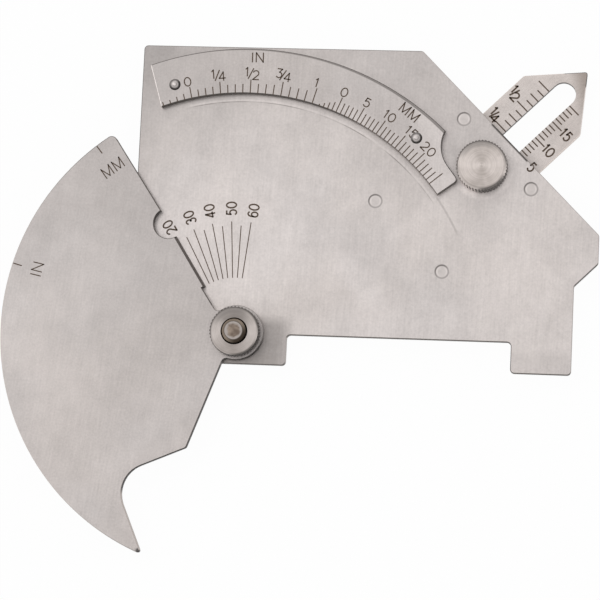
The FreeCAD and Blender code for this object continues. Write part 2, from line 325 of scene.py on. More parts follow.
def painted_light_across_plate(board, place, colour):
    """Painted shade in the upper left corner, painted light on the right side, and a painted
    highlight streak between.
    """
    across, up, _ = parts_of(board, place)
    # Painted shade: darker towards the upper left corner.
    corner = board.ramp(up - 1.1 * across, 34 * MM, 88 * MM)
    colour = board.tint(corner * 0.95, colour, grey(0.28))
    # Painted light: paler towards the right side.
    painted_light_right = board.ramp(across, 15 * MM, 78 * MM)
    colour = board.tint(painted_light_right * 0.5, colour, grey(0.64))
    # Painted highlight: a soft pale streak.
    off_x, off_y = across - HIGHLIGHT_AT[0], up - HIGHLIGHT_AT[1]
    way_x, way_y = HIGHLIGHT_WAY
    painted_highlight_streak = band(board, off_x * way_y - off_y * way_x, 0.0, 3.0 * MM, 6.0 * MM)
    painted_highlight_streak = painted_highlight_streak * band(board, off_x * way_x + off_y * way_y, 0.0, 0.6 * MM, 3.4 * MM)
    return board.tint(painted_highlight_streak * 0.35, colour, grey(0.68, -0.01))


print("streak at mm:", [round(part / MM, 1) for part in HIGHLIGHT_AT])

# %% Rings that the cam has rubbed, and painted shade below the arc scale
RUB_RADIUS = 51.4 * MM
UNDER_ARC = (0.68, 1.78)
PAST_END = (0.475, 0.62)


def cam_rubs_and_arc_shade(board, place, colour):
    """Rings of the cam's rim on the plate's front, below the arc scale and past its lower end, and
    painted shade below the arc scale.
    """
    radius, way_x, way_y = around(board, place, PIVOT)
    bearing = board.sum_of("ARCTAN2", way_y, way_x)
    front = board.ramp(facing(board)[2], -0.5, 0.5)
    under_arc = between(board, bearing, *UNDER_ARC, 0.08) * front
    past_end = between(board, bearing, *PAST_END, 0.03) * front
    # Painted shade: the plate grows darker towards the arc scale.
    shade_below_arc = board.ramp(radius, 38 * MM, 50 * MM) * under_arc
    colour = board.tint(shade_below_arc * 0.35, colour, grey(0.42))
    pale = band(board, radius, RUB_RADIUS - 0.45 * MM, 0.12 * MM, 0.25 * MM) * under_arc
    colour = board.tint(pale * 0.3, colour, grey(0.66))
    patches = board.ramp(noise(board, place, 160.0), 0.3, 0.6)
    dark = band(board, radius, RUB_RADIUS - 0.75 * MM, 0.05 * MM, 0.10 * MM) * under_arc
    faint = band(board, radius, RUB_RADIUS + 0.5 * MM, 0.08 * MM, 0.26 * MM) * past_end
    rings = dark * patches * 0.7 + faint * 0.3
    return board.tint(rings * 1.2, colour, grey(0.24, 0.02))


print("rubbed at a radius in mm:", round(RUB_RADIUS / MM, 1))

# %% Painted light and shade round the nut and beside other pieces


def painted_light_and_shade_at_pivot(board, place, colour):
    """Painted light in a halo over the pivot, painted shade below it and on the heel by the nut, and
    a painted shadow beside the nut.
    """
    radius = around(board, place, PIVOT)[0]
    across, up, _ = parts_of(board, place)
    down = 0 - up
    # Painted light: a pale halo over the pivot.
    halo = band(board, radius, 9.0 * MM, 1.5 * MM, 4.0 * MM) * board.ramp(up, 2 * MM, 9 * MM)
    colour = board.tint(halo * 0.3, colour, grey(0.62))
    # Painted shade: darker below the pivot.
    low = board.ramp(down, 0.5 * MM, 4 * MM)
    colour = board.tint(low * 0.4, colour, grey(0.42))
    # Painted shade on the heel by the nut.
    heel = board.ramp(down, 0.5 * MM, 5.5 * MM) * (1 - board.ramp(across, 6 * MM, 16 * MM))
    colour = board.tint(heel * 0.8, colour, grey(0.24, 0.02))
    # Painted shadow beside the nut.
    nut_shadow = (1 - board.ramp(radius, 8.6 * MM, 13 * MM)) * (1 - board.ramp(down, 2 * MM, 6.5 * MM))
    nut_shadow = nut_shadow * (1 - board.ramp(up, 1.4 * MM, 4.8 * MM))
    return board.tint(nut_shadow * 0.75, colour, grey(0.26, 0.01))


def painted_shade_and_light_beside_pieces(board, place, colour):
    """Painted shadow just outside the arc scale, and painted light below the lock screw."""
    radius = around(board, place, PIVOT)[0]
    across = parts_of(board, place)[0]
    # Painted shadow just outside the arc scale's outer rim.
    shadow_over_arc = board.ramp(radius, ARC_REACH, ARC_REACH + 1 * MM)
    shadow_over_arc = shadow_over_arc * between(board, across, 15 * MM, 36 * MM, 10 * MM)
    colour = board.tint(shadow_over_arc * 0.6, colour, grey(0.40))
    away, way_x, way_y = around(board, place, LOCK_AT)
    # Painted light below the lock screw, which lightens its shadow there.
    painted_light_below_lock = 1 - board.ramp(away, LOCK_REACH + 0.3 * MM, LOCK_REACH + 1.9 * MM)
    painted_light_below_lock = painted_light_below_lock * (1 - board.ramp(way_y, -0.5, 0.1)) * board.ramp(way_x, -0.85, -0.55)
    return board.tint(painted_light_below_lock * 0.7, colour, grey(0.88))


print("bright below the lock screw, which reaches mm:", round(LOCK_REACH / MM, 2))

# %% Painted shadow on the slanted edge of the bridge plate
EDGE_SHADOW_BEGINS = (70.4 * MM, 70.7 * MM)
EDGE_SHADOW_BESIDE = (-15.2 * MM, -4.6 * MM)
DIAGONAL = math.sqrt(0.5)


def slide_parts(board, place):
    """Distances along and beside the pointer's slide, which runs up to the right at 45 degrees."""
    across, up, _ = parts_of(board, place)
    return (across + up) * DIAGONAL, (up - across) * DIAGONAL


def painted_edge_shadow(board, place, colour):
    """Painted shadow on the slanted edge, where the pointer slides under it."""
    along, beside = slide_parts(board, place)
    # Painted shadow of the plate's raised edge over the pointer.
    edge_shadow = board.ramp(along, *EDGE_SHADOW_BEGINS) * between(board, beside, *EDGE_SHADOW_BESIDE, 0.6 * MM)
    return board.tint(edge_shadow * 0.9, colour, grey(0.05, 0.05))


print("dirt starts along the slide at mm:", round(EDGE_SHADOW_BEGINS[0] / MM, 1))

# %% [markdown]
# ## Shades of the cam, the arc scale and the pointer
#
# The other plates are dull or pale from end to end in their own way, and the cam's darker top is
# painted shade. Their walls matter more than their faces, because a thin dark or bright wall is
# what tells that one plate lies on another. Soft light alone doesn't part such low walls, so light
# and shade are painted on them by the way that each wall looks.

# %% Cam
CLAW_TIP = (-18.6 * MM, -47.6 * MM)


def cam_shade(board, place, colour):
    """Painted shade towards the top of the cam, and a dark claw tip."""
    up = parts_of(board, place)[1]
    # Painted shade: darker towards the top of the cam.
    colour = board.tint(board.ramp(up, -35 * MM, 52 * MM) * 0.9, colour, grey(0.34))
    away = around(board, place, CLAW_TIP)[0]
    return board.tint(1 - board.ramp(away, 0.4 * MM, 1.0 * MM), colour, grey(0.10))


def cam_rim(board, place, colour):
    """Painted shade on walls that look down and right, and painted light on the claw's flank and the
    boss.
    """
    across, up, _ = facing(board)
    wall = 1 - level_share(board)
    # Painted shade on the walls that face down and right.
    shaded_low_right = board.ramp(0.5 * across - 0.85 * up, 0.35, 0.7)
    colour = board.tint(shaded_low_right * 0.85, colour, grey(0.045, 0.02))
    # Painted light on the claw's flank.
    flat = board.sum_of("SQRT", across * across + up * up + 1e-6)
    flank = board.ramp((0.94 * across + 0.35 * up) / flat, 0.88, 0.97) * wall
    flank = flank * (1 - board.ramp(parts_of(board, place)[1], -36 * MM, -32 * MM))
    colour = board.tint(flank * 0.9, colour, grey(0.48, 0.03))
    # Painted light on the boss's wall, which lightens its shade.
    boss = 1 - board.ramp(around(board, place, PIVOT)[0], 7.4 * MM, 8.2 * MM)
    boss = boss * board.ramp(up + 0.3 * across, -0.3, 0.5) * wall
    return board.tint(boss * 0.8, colour, grey(0.42))


print("claw tip at mm:", [round(part / MM, 1) for part in CLAW_TIP])

# %% Arc scale
ARC_FOOT = 52.3 * MM


def scale_shade(board, place, colour):
    """The left end of the arc scale is duller, and the right end is paler."""
    across = parts_of(board, place)[0]
    radius = around(board, place, PIVOT)[0]
    inner = board.ramp(across, 10 * MM, 26 * MM) * (1 - board.ramp(radius, 53.5 * MM, 56 * MM))
    colour = board.tint(inner * 0.5, colour, grey(0.54))
    colour = board.tint(board.ramp(across, 34 * MM, 42 * MM), colour, grey(0.57))
    left_end = board.ramp(0 - across, -6 * MM, 20 * MM)
    return board.tint(left_end * 0.8, colour, grey(0.335))


def scale_rims(board, place, colour):
    """Painted shade on the outer rim and on the inner rim at the right, and a painted highlight on
    the left end.
    """
    radius, way_x, _ = around(board, place, PIVOT)
    across, up, _ = facing(board)
    # Painted shade along the outer rim.
    outer = board.ramp(radius, ARC_REACH - 0.42 * MM, ARC_REACH - 0.2 * MM)
    colour = board.tint(outer * 0.75, colour, grey(0.13, 0.03))
    # Painted shade on the inner wall at the right.
    inner = 1 - board.ramp(radius, ARC_FOOT + 0.1 * MM, ARC_FOOT + 0.5 * MM)
    inner = inner * board.ramp(way_x, 0.3, 0.55) * (1 - level_share(board))
    colour = board.tint(inner * 0.7, colour, grey(0.30, 0.02))
    # Painted highlight on the left end, which faces the light.
    left = board.ramp(0 - across - 0.1 * up, 0.4, 0.6) * (1 - board.ramp(way_x, -0.1, 0.0))
    return board.tint(left, colour, grey(0.95))


print("the arc's ticks stand at a radius in mm:", round(ARC_FOOT / MM, 1))

# %% Pointer
HEAT_BROWN = (0.20, 0.155, 0.125, 1.0)
SLOT_BESIDE = (-11.8 * MM, -6.9 * MM)


def tip_shade(board, place, colour):
    """The far corner of the pointer is brown from heat, and the end near the plate is darker."""
    across, up, _ = parts_of(board, place)
    tip = board.ramp(across + 0.25 * up, 83.0 * MM, 87.3 * MM)
    colour = board.tint(tip * 0.6, colour, HEAT_BROWN)
    # Darker towards the end near the plate.
    near = 1 - board.ramp(across + up, 100 * MM, 104 * MM)
    return board.tint(near * 0.35, colour, grey(0.3, 0.03))


def slot_rim(board, place, colour):
    """Painted shade on the wall along the upper side and the far end of the pointer's slot."""
    beside = slide_parts(board, place)[1]
    # Painted shade in the slot.
    inside = between(board, beside, *SLOT_BESIDE, 0.4 * MM) * (1 - level_share(board))
    return board.tint(inside * 0.9, colour, grey(0.07, 0.03))


print("slot beside the slide's axis at mm:", [round(part / MM, 1) for part in SLOT_BESIDE])

# %% One steel for each plate
finishes = {
    "body_plate": plate_steel(
        "bridge_plate_steel", tone=0.535, grain_turn=2.0, sheared_lit_wall=0.44, sheared_shaded_wall=0.13,
        face_tints=(painted_light_across_plate, cam_rubs_and_arc_shade, painted_light_and_shade_at_pivot, painted_shade_and_light_beside_pieces), rims=(painted_edge_shadow,),
    ),
    "cam_plate": plate_steel(
        "cam_steel", tone=0.49, grain_turn=7.0, sheared_lit_wall=0.60, sheared_shaded_wall=0.16,
        face_tints=(cam_shade,), rims=(cam_rim,), painted_light_way=(-1.0, -0.3),
    ),
    "arc_scale": plate_steel(
        "scale_steel", tone=0.435, grain_turn=0.0, sheared_lit_wall=0.14, sheared_shaded_wall=0.11,
        face_tints=(scale_shade,), rims=(scale_rims,),
    ),
    "pointer": plate_steel(
        "pointer_steel", tone=0.55, grain_turn=45.0, sheared_lit_wall=0.70, sheared_shaded_wall=0.70,
        face_tints=(tip_shade,), rims=(slot_rim,), warmth=0.014,
    ),
    "cover_plate": plate_steel(
        "cover_steel", tone=0.56, grain_turn=45.0, sheared_lit_wall=0.40, sheared_shaded_wall=0.20
    ),
}
print("plate steels:", len(finishes))

# %% [markdown]
# ## The turned pieces
#
# The nut, the lock screw and the stud come off a lathe, so their faces carry fine rings about their
# own axis. One-dimensional noise along the radius makes rings of uneven depth. A turned face also
# reflects more light to the left and right of its axis than above and below it, like a bow tie, and
# that reflection is painted into the colour: the cosine of twice the angle, which needs only the x
# and y of the direction. As with the plates, what is special to one piece is a function that is
# laid on after the common steel, and these functions paint light and shade as well.

# %% Turned steel


def turned_steel(name, tone, centre, touches, tie=0.3, roughness=0.46):
    """Lathe-turned steel with rings about an upright axis."""
    material, board, shader = new_finish(name)
    place = object_place(board)
    axis = around(board, place, centre)
    radius, way_x, way_y = axis
    rings = board.wire(
        "ShaderNodeTexNoise",
        {"noise_dimensions": "1D"},
        {"W": radius, "Scale": 2600.0, "Detail": 3.0},
    )
    smudges = noise(board, place, 700.0, 4.0)
    # Painted reflection: paler to the left and right of the axis, darker above and below.
    painted_bow_tie = way_x * way_x - way_y * way_y
    share = 0.5 + 0.9 * (rings - 0.5) + 0.9 * (smudges - 0.5) + tie * painted_bow_tie
    colour = board.tint(share, grey(tone * 0.72, 0.04), grey(tone * 1.28, 0.02))
    for touch in touches:
        colour = touch(board, axis, smudges, colour)
    plug_steel(board, shader, colour, roughness + 0.16 * (smudges - 0.5), 0.95, rings, 0.35)
    return material


print("turned steel is ready")

# %% Knurled heads


def knurled(reach, tone, painted_glint):
    """Touch for a head with a knurled rim: pale teeth, painted shade in the gaps, at the lower right,
    at the top left and on the edge, and a painted glint at the lower left.
    """

    def touch(board, axis, _, colour):
        radius, way_x, way_y = axis
        # Painted shade in the gaps between the teeth.
        teeth = board.ramp(radius, reach - 0.22 * MM, reach - 0.04 * MM)
        # Painted shade at the lower right.
        shaded_low_right = board.ramp(way_x * 0.6 - way_y * 0.8, 0.1, 0.85)
        tips = board.tint(shaded_low_right, grey(0.55), grey(0.10, 0.02))
        # Painted glint at the lower left.
        low_left = board.ramp(0 - way_x * 0.85 - way_y * 0.5, 0.35, 0.85)
        tips = board.tint(low_left * painted_glint, tips, grey(0.75))
        rim = board.tint(teeth, grey(0.035, 0.02), tips)
        colour = board.tint(level_share(board), rim, colour)

        # Painted shade at the top left.
        top_left = board.ramp(way_y * 0.95 - way_x * 0.3, 0.45, 0.95)
        shade = between(board, radius, reach * 0.8, reach * 0.97, 0.12 * reach) * top_left
        colour = board.tint(shade * 0.6, colour, grey(tone * 0.5, 0.01))
        # Painted shade on the edge, except at the bottom.
        edge = board.ramp(radius, reach - 0.56 * MM, reach - 0.36 * MM)
        edge = edge * board.ramp(way_y - 0.2 * way_x, -0.5, 0.2)
        colour = board.tint(edge * 0.85, colour, grey(0.12, 0.03))
        # Painted shade on the far side at the lower right.
        far_side = board.ramp(way_x * 0.5 - way_y * 0.87, 0.72, 0.97)
        far_side = far_side * board.ramp(radius, reach - 0.66 * MM, reach - 0.42 * MM)
        return board.tint(far_side * 0.8, colour, grey(0.07, 0.02))

    return touch


print("knurled heads reach mm:", round(NUT_REACH / MM, 2), round(LOCK_REACH / MM, 2))

# %% The nut's face and the stud's end
STUD_REACH = 2.5 * MM
STUD_CHAMFER = 2.0 * MM
GREASE = (0.050, 0.038, 0.028, 1.0)
STAIN_DARK = (0.11, 0.076, 0.054, 1.0)
STAIN_PALE = (0.30, 0.235, 0.185, 1.0)
STUD_SIDE = (0.30, 0.245, 0.195, 1.0)


def nut_face(board, axis, _, colour):
    """Painted shade in a crown above the stud, and grease in the gap round it."""
    radius, _, way_y = axis
    # Painted shade: darker above the stud.
    crown = (1 - board.ramp(radius, 3.4 * MM, 5.2 * MM)) * board.ramp(way_y, 0.1, 1.0)
    colour = board.tint(crown * 0.55, colour, grey(0.15, 0.03))
    gap = 1 - board.ramp(radius, STUD_REACH + 0.3 * MM, STUD_REACH + 0.45 * MM)
    return board.tint(gap * 0.9, colour, GREASE)


def stud_face(board, axis, smudges, _):
    """Stained middle, a greasy crease, and a chamfer that is greasy with painted shade at the lower
    right.
    """
    radius, way_x, way_y = axis
    stain = 1 - board.ramp(radius + 1.4 * MM * (smudges - 0.5), 1.1 * MM, 1.7 * MM)
    mottled = board.tint(board.ramp(smudges, 0.3, 0.7), STAIN_DARK, STAIN_PALE)
    colour = board.tint(stain * 0.85, grey(0.33, 0.03), mottled)
    crease = band(board, radius, STUD_CHAMFER, 0.03 * MM, 0.12 * MM)
    colour = board.tint(crease * 0.8, colour, GREASE)
    flank = board.ramp(radius, STUD_CHAMFER, STUD_CHAMFER + 0.1 * MM)
    # Painted shade: the chamfer turns from its side colour to the grease colour towards the lower
    # right.
    shaded_low_right = board.ramp(way_x * 0.7 - way_y * 0.7, -0.1, 0.9)
    return board.tint(flank, colour, board.tint(shaded_low_right, STUD_SIDE, GREASE))


print("stud radius in mm:", STUD_REACH / MM)

# %% One steel for each turned piece
NUT_TONE = 0.38
LOCK_TONE = 0.50

finishes["pivot_nut"] = turned_steel(
    "nut_steel", NUT_TONE, PIVOT, [knurled(NUT_REACH, NUT_TONE, 0.0), nut_face], tie=0.35
)
finishes["lock_screw"] = turned_steel(
    "lock_screw_steel", LOCK_TONE, LOCK_AT, [knurled(LOCK_REACH, LOCK_TONE, 1.0)], tie=0.25
)
finishes["pivot_stud"] = turned_steel(
    "stud_steel", 0.30, PIVOT, [stud_face], tie=0.1, roughness=0.42
)
print("steels so far:", len(finishes))

# %% [markdown]
# ## The rivets
#
# The guide rivets are ground flush with the plate, and only a shallow ring shows round each, with
# painted shade in the ring and painted highlights inside it. The two scale rivets have small
# polished domes with painted shade on their rims. Each node has its own centre, so each gets its
# own material from the same function.

# %% Rivet steel


def domed_face(board, reach, axis, smudges, top_left):
    """Colour of a dome with painted shade on its rim and round its middle, and the groove round it.
    """
    radius = axis[0]
    colour = board.tint(0.5 + 0.9 * (smudges - 0.5), grey(0.36), grey(0.72))
    # Painted shade on the dome's rim, lighter at the top left.
    rim = board.ramp(radius + 0.4 * MM * (smudges - 0.5), reach * 0.42, reach * 0.8)
    colour = board.tint(rim * (1 - 0.35 * top_left), colour, grey(0.035, 0.03))
    # Painted shade round the middle, away from the top left.
    middle = band(board, radius, reach * 0.36, 0.03 * MM, 0.2 * MM) * (1 - top_left)
    return board.tint(middle * 0.6, colour, grey(0.12, 0.02)), rim


def flush_face(board, reach, axis, smudges, top_left):
    """Colour of a flush end with painted highlights as pale crescents at its sides, and the groove
    round it, painted darker at the top left.
    """
    radius, way_x, _ = axis
    colour = board.tint(0.5 + 0.9 * (smudges - 0.5), grey(0.44), grey(0.62))
    uneven = radius + 0.1 * MM * (smudges - 0.5)
    groove = band(board, uneven, reach - 0.2 * MM, 0.1 * MM, 0.16 * MM)
    # The groove is real, with painted shade that is darker at the top left.
    colour = board.tint(groove * (0.45 + 0.4 * top_left), colour, grey(0.13, 0.02))
    # Painted highlights: pale crescents at the left and right.
    crescents = band(board, radius, reach - 0.55 * MM, 0.08 * MM, 0.22 * MM) * way_x * way_x
    return board.tint(crescents * 0.3, colour, grey(0.80)), groove


def rivet_steel(node, face):
    """Finish of a rivet's end, with a shallow groove where it meets the plate."""
    centre, reach = round_piece(node)
    material, board, shader = new_finish(node + "_steel")
    place = object_place(board)
    axis = around(board, place, centre)
    _, way_x, way_y = axis
    smudges = noise(board, place, 900.0)
    # Which side of a rivet is painted paler or darker.
    top_left = board.ramp(way_y * 0.8 - way_x * 0.6, -0.4, 0.9)
    colour, groove = face(board, reach, axis, smudges, top_left)
    roughness = 0.45 + 0.1 * (smudges - 0.5)
    plug_steel(board, shader, colour, roughness, 0.95, 1 - groove, 0.5, 0.03 * MM)
    return material


for number in (1, 2, 3, 4):
    finishes[f"guide_rivet_{number}"] = rivet_steel(f"guide_rivet_{number}", flush_face)
for number in (1, 2):
    finishes[f"scale_rivet_{number}"] = rivet_steel(f"scale_rivet_{number}", domed_face)
print("steels with those of the rivets:", len(finishes))

# %% Put each steel on its node
for node, finish in finishes.items():
    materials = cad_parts[node].data.materials
    materials.clear()
    materials.append(finish)
print("finished nodes:", len(finishes))

# %% [markdown]
# ## The ink of the marks
#
# The lines and numerals are burnt into the steel and look dark brown and dull. Noise makes the burn
# slightly uneven.

# %% Mark finish
BURN_DARK = (0.080, 0.056, 0.042, 1.0)
BURN_PALE = (0.160, 0.117, 0.088, 1.0)

mark_ink, ink_board, ink_shader = new_finish("burnt_marks")
burn = noise(ink_board, object_place(ink_board), 2600.0)
ink_board.plug(ink_shader.inputs["Base Color"], ink_board.tint(burn, BURN_DARK, BURN_PALE))
ink_board.plug(ink_shader.inputs["Roughness"], 0.5 + 0.2 * burn)
ink_shader.inputs["Specular IOR Level"].default_value = 0.1
print("mark finish:", mark_ink.name)

# %% [markdown]
# ## Graduations
#
# A graduation is one tick that repeats by a rule, which is what Geometry Nodes are for. A tree
# makes as many points as there are ticks, works out the place and the direction of each from its
# number, sets a thin block on each and stretches it to the tick's length. Three laws are needed:
# lines that fan out from a point, ticks along a straight slide, and the law of the claw. The claw's
# tip is on a circle about the pivot, so its height goes with the sine of the turn, and the ticks
# for equal steps of height lie on the arc by the inverse sine.

# %% Start and end of a tree
WHOLE_NUMBERS = ("Count", "First number")


def input_tree(name, sizes):
    """Geometry tree with named inputs for its sizes, for a mesh and for the ink."""
    tree = bpy.data.node_groups.new(name, "GeometryNodeTree")
    tree.interface.new_socket("Geometry", in_out="OUTPUT", socket_type="NodeSocketGeometry")
    tree.interface.new_socket("Geometry", in_out="INPUT", socket_type="NodeSocketGeometry")
    for size in sizes:
        kind = "NodeSocketInt" if size in WHOLE_NUMBERS else "NodeSocketFloat"
        tree.interface.new_socket(size, in_out="INPUT", socket_type=kind)
    tree.interface.new_socket("Ink", in_out="INPUT", socket_type="NodeSocketMaterial")
    board = Board(tree)
    outputs = board.node("NodeGroupInput").outputs
    given = {socket.name: Wire(board, socket) for socket in outputs if socket.name}
    return tree, board, given


def finish_tree(board, geometry, given):
    """Last nodes of a tree: real geometry with its material."""
    real = board.wire("GeometryNodeRealizeInstances", inputs={0: geometry})
    inputs = {"Geometry": real, "Material": given["Ink"]}
    board.node("NodeGroupOutput", inputs={0: board.wire("GeometryNodeSetMaterial", inputs=inputs)})


print("whole numbers of a tree:", ", ".join(WHOLE_NUMBERS))

# %% A tree for ticks
TICK_SIZES = [
    "Count", "First number", "Step", "Short", "Middle", "Long", "Middle every", "Long every",
    "Fade", "Growth", "Stroke", "Depth", "Level",
]


def tick_length(board, given, number):
    """Length by the number: longer at some steps, fading below zero and growing above it."""

    def falls_on(every):
        left_over = board.sum_of("ABSOLUTE", board.sum_of("MODULO", number, given[every]))
        return board.sum_of("LESS_THAN", left_over, 0.5)

    middle = given["Middle"] * falls_on("Middle every")
    length = board.sum_of("MAXIMUM", given["Short"], middle)
    length = board.sum_of("MAXIMUM", length, given["Long"] * falls_on("Long every"))
    length = length * (1 + board.sum_of("MINIMUM", number, 0.0) * given["Fade"])
    return length + board.sum_of("MAXIMUM", number, 0.0) * given["Growth"]


def walk(board, direction, distance):
    """The x and y of a walk of this distance in a direction."""
    return board.sum_of("COSINE", direction) * distance, board.sum_of("SINE", direction) * distance


def tick_tree(name, law_sizes, law):
    """Tree that sets a tick for each number, where the law puts its foot and direction."""
    tree, board, given = input_tree(name, TICK_SIZES + law_sizes)
    number = given["First number"] + board.wire("GeometryNodeInputIndex")
    foot_x, foot_y, direction = law(board, given, number * given["Step"])
    length = tick_length(board, given, number)
    half_x, half_y = walk(board, direction, length / 2)
    middle = board.vector(foot_x + half_x, foot_y + half_y, given["Level"])
    points = board.wire(
        "GeometryNodePoints", inputs={"Count": given["Count"], "Position": middle}
    )
    placed = board.wire("GeometryNodeInstanceOnPoints", inputs={
        "Points": points,
        "Instance": board.wire("GeometryNodeMeshCube"),
        "Rotation": board.vector(z=direction),
        "Scale": board.vector(length, given["Stroke"], given["Depth"]),
    })
    finish_tree(board, placed, given)
    return tree


print("sizes of a tick tree:", len(TICK_SIZES))

# %% Laws that place a tick


def claw_law(board, given, value):
    """Foot on the arc where the cam's zero line stands at this height of the claw's tip."""
    reach = given["Claw reach"]
    at_zero = board.sum_of("ARCSINE", given["Claw drop"] / reach)
    turned = board.sum_of("ARCSINE", (value - given["Claw drop"]) / reach) + at_zero
    direction = given["Zero direction"] - turned
    x, y = walk(board, direction, given["Radius"])
    return x, y, direction


def slide_law(board, given, value):
    """Foot on a straight line, with ticks square to it."""
    x, y = walk(board, given["Slide direction"], value)
    direction = given["Slide direction"] + given["Side turn"]
    return given["Start X"] + x, given["Start Y"] + y, direction


def fan_law(board, given, value):
    """Foot on a circle round the apex, in a direction that falls with the value."""
    direction = given["Zero direction"] - value
    x, y = walk(board, direction, given["Radius"])
    return given["Apex X"] + x, given["Apex Y"] + y, direction


claw_tree = tick_tree(
    "claw_ticks", ["Radius", "Claw reach", "Claw drop", "Zero direction"], claw_law
)
slide_tree = tick_tree(
    "slide_ticks", ["Start X", "Start Y", "Slide direction", "Side turn"], slide_law
)
fan_tree = tick_tree("fan_ticks", ["Apex X", "Apex Y", "Radius", "Zero direction"], fan_law)
print("tick trees:", claw_tree.name, slide_tree.name, fan_tree.name)

# %% [markdown]
# ## From a tree to a piece
#
# The export drops what a live modifier would make of instances, so a tree is used only for a
# moment. A holder carries it, the evaluated result is copied into a plain mesh, and the holder goes
# away. Meshes on the same body are then joined into one piece that rides on that body.

# %% Meshes from a tree
MARK_DEPTH = 0.04 * MM
MARK_STANDS = 0.012 * MM
NEVER = 1000.0


def mark_level(face):
    """Height of the middle of a mark, which is sunk in the face and stands a hair out of it."""
    return face + MARK_STANDS - MARK_DEPTH / 2


def grown(tree, sizes, carrier=None):
    """Plain mesh of what a tree makes from the given sizes."""
    holder = bpy.data.objects.new("holder", carrier or bpy.data.meshes.new("empty"))
    bpy.context.collection.objects.link(holder)
    modifier = holder.modifiers.new("grow", "NODES")
    modifier.node_group = tree
    for item in tree.interface.items_tree:
        if item.in_out == "INPUT" and item.name in sizes:
            modifier[item.identifier] = sizes[item.name]
    bpy.context.view_layer.update()
    graph = bpy.context.evaluated_depsgraph_get()
    mesh = bpy.data.meshes.new_from_object(holder.evaluated_get(graph))
    bpy.data.objects.remove(holder)
    return mesh


def ticks(tree, face, stroke, **sizes):
    """Ticks on a face. The sizes use the names of the tree's inputs, with _ for a space."""
    named = {
        "Stroke": stroke,
        "Depth": MARK_DEPTH,
        "Level": mark_level(face),
        "Middle every": NEVER,
        "Long every": NEVER,
        "Ink": mark_ink,
    }
    for name, value in sizes.items():
        named[name.replace("_", " ")] = value
    return grown(tree, named)


def piece(name, body, meshes, finish=mark_ink):
    """One finished piece from several meshes, riding on a body."""
    joined = bmesh.new()
    for mesh in meshes:
        joined.from_mesh(mesh)
    whole = bpy.data.meshes.new(name)
    joined.to_mesh(whole)
    joined.free()
    whole.materials.append(finish)
    made = bpy.data.objects.new(name, whole)
    bpy.context.collection.objects.link(made)
    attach(made, body)
    print(name, len(whole.polygons), "faces")


print("mark depth in mm:", MARK_DEPTH / MM)

# %% [markdown]
# ## The engraver's letters
#
# All numerals and letters are cut with a narrow cutter, so each is a line of constant width. A font
# has outlines of changing width, so these are drawn as the path of the cutter instead, in units of
# the letter's height, and a tree turns every path into a line with a width and a depth.

# %% Paths of the letters


def bow(middle_x, middle_y, reach_x, reach_y, start, end, steps=14):
    """Points along part of an ellipse, between two angles in degrees."""
    points = []
    for step in range(steps + 1):
        angle = math.radians(start + (end - start) * step / steps)
        x = middle_x + reach_x * math.cos(angle)
        points.append((x, middle_y + reach_y * math.sin(angle)))
    return points


# Half the width of each letter, and the strokes that it is cut with.
LETTERS = {
    "0": (0.50, [bow(0, 0, 0.37, 0.5, 0, 360, 22)]),
    "1": (0.27, [[(-0.20, 0.28), (0.02, 0.5), (0.02, -0.5)]]),
    "2": (0.48, [bow(0, 0.2, 0.31, 0.3, 165, -35) + [(-0.34, -0.5), (0.36, -0.5)]]),
    "3": (0.46, [
        [(-0.28, 0.5), (0.28, 0.5), (-0.02, 0.12)] + bow(-0.02, -0.18, 0.31, 0.31, 80, -150)
    ]),
    "round 3": (0.46, [
        bow(0, 0.24, 0.27, 0.26, 160, -80) + bow(0, -0.22, 0.3, 0.28, 80, -155)
    ]),
    "4": (0.46, [[(0.12, -0.5), (0.12, 0.5), (-0.36, -0.2), (0.36, -0.2)]]),
    "5": (0.48, [
        [(0.28, 0.5), (-0.2, 0.5), (-0.27, 0.06)] + bow(-0.01, -0.16, 0.33, 0.34, 130, -150)
    ]),
    "6": (0.46, [
        bow(0.02, 0.12, 0.32, 0.38, 40, 190) + bow(0, -0.18, 0.31, 0.32, 170, -190, 22)
    ]),
    "I": (0.22, [[(0, -0.5), (0, 0.5)]]),
    "N": (0.52, [[(-0.36, -0.5), (-0.36, 0.5), (0.36, -0.5), (0.36, 0.5)]]),
    "M": (0.56, [[(-0.39, -0.5), (-0.39, 0.5), (0, -0.42), (0.39, 0.5), (0.39, -0.5)]]),
}
print("letters:", " ".join(LETTERS))

# %% Words and fractions


def word_place(centre, turn):
    """Matrix that sets a word at a point in mm, turned by an angle in degrees."""
    return Matrix.Translation((*centre, 0)) @ Matrix.Rotation(math.radians(turn), 4, "Z")


def cutter_paths(text, centre, turn, height, narrow=1.0):
    """Paths of a word, centred at a point in mm and turned by an angle in degrees."""
    along = -sum(LETTERS[letter][0] for letter in text)
    paths = []
    for letter in text:
        half, strokes = LETTERS[letter]
        along += half
        paths += [[(x + along, y) for x, y in stroke] for stroke in strokes]
        along += half
    place = word_place(centre, turn)
    size = Matrix.Diagonal((height * narrow, height, 1, 1))
    return [[place @ size @ Vector((x, y, 0)) for x, y in path] for path in paths]


def fraction_paths(over, under, centre, turn, height, spread=1.0, lift=0.16):
    """Paths of a fraction: the first figure high, a slanted bar and the second figure low."""
    place = word_place(centre, turn)
    over_place = place @ Vector((-0.5 * spread * height, lift * height, 0))
    under_place = place @ Vector((0.43 * spread * height, -lift * height, 0))
    bar_ends = ((-0.37 * spread, -0.6), (0.17 * spread, 0.6))
    bar = [place @ Vector((x * height, y * height, 0)) for x, y in bar_ends]
    paths = cutter_paths(over, over_place.xy, turn, height)
    return paths + [bar] + cutter_paths(under, under_place.xy, turn, height)


print("strokes of 1/4:", len(fraction_paths("1", "4", (0, 0), 0, 1)))

